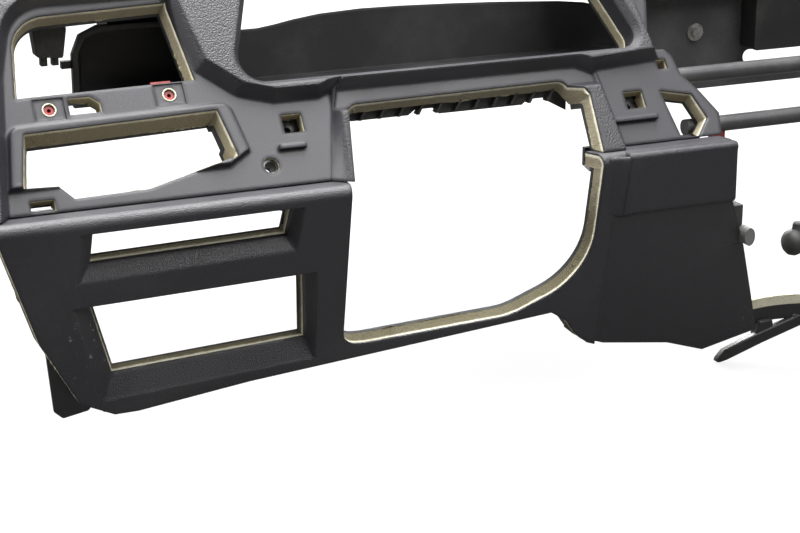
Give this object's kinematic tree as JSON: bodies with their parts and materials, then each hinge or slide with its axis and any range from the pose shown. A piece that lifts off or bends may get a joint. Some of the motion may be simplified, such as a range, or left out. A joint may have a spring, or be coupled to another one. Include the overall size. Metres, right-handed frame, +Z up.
{
  "type": "car dashboard assembly",
  "caption": "Bare left-hand-drive dashboard moulding: grained skin, cream foam and black carrier, with the openings for cluster, steering column, vents, switches and glovebox.",
  "frame": {"origin": "midway between the two fixing holes of the windscreen edge, on the top of the carrier flange, in the car's centre plane", "axes": "+X to the passenger side, the object's longest extent; +Y forward to the windscreen; +Z up"},
  "size_m": [1.4806, 0.4329, 0.4445],
  "materials": {
    "grained_skin": "pebble grain, dull",
    "cream_foam": "rough cut foam",
    "black_plastic": "smooth moulded, dull",
    "grey_plastic": "smooth moulded, satin",
    "zinc_steel": "zinc plated",
    "red_plastic": "moulded"
  },
  "bodies": {
    "root": {"upper_skin": "grained_skin", "upper_foam": "cream_foam", "upper_carrier": "black_plastic", "driver_carrier": "black_plastic", "passenger_carrier": "black_plastic", "driver_skin": "grained_skin", "driver_foam": "cream_foam", "passenger_skin": "grained_skin", "passenger_foam": "cream_foam", "cluster_tray": "grey_plastic", "left_duct": "black_plastic", "right_duct": "black_plastic", "left_duct_hanger": "black_plastic", "right_duct_hanger": "black_plastic", "wiring_plug": "black_plastic", "centre_panel": "grey_plastic", "switch_box": "black_plastic", "light_part": "grey_plastic", "centre_bolt": "zinc_steel", "spring_nuts": "zinc_steel", "eye_bushings": "black_plastic", "red_clips": "red_plastic", "red_catch": "red_plastic", "centre_bar_upper": "grey_plastic", "centre_bar_lower": "grey_plastic", "left_bracket": "black_plastic", "right_bracket": "black_plastic", "side_block": "black_plastic", "side_boss": "grey_plastic", "lower_rail": "black_plastic", "rail_pad": "cream_foam", "lower_blade": "black_plastic", "knob": "black_plastic", "knob_rod": "black_plastic"}
  },
  "joints": []
}
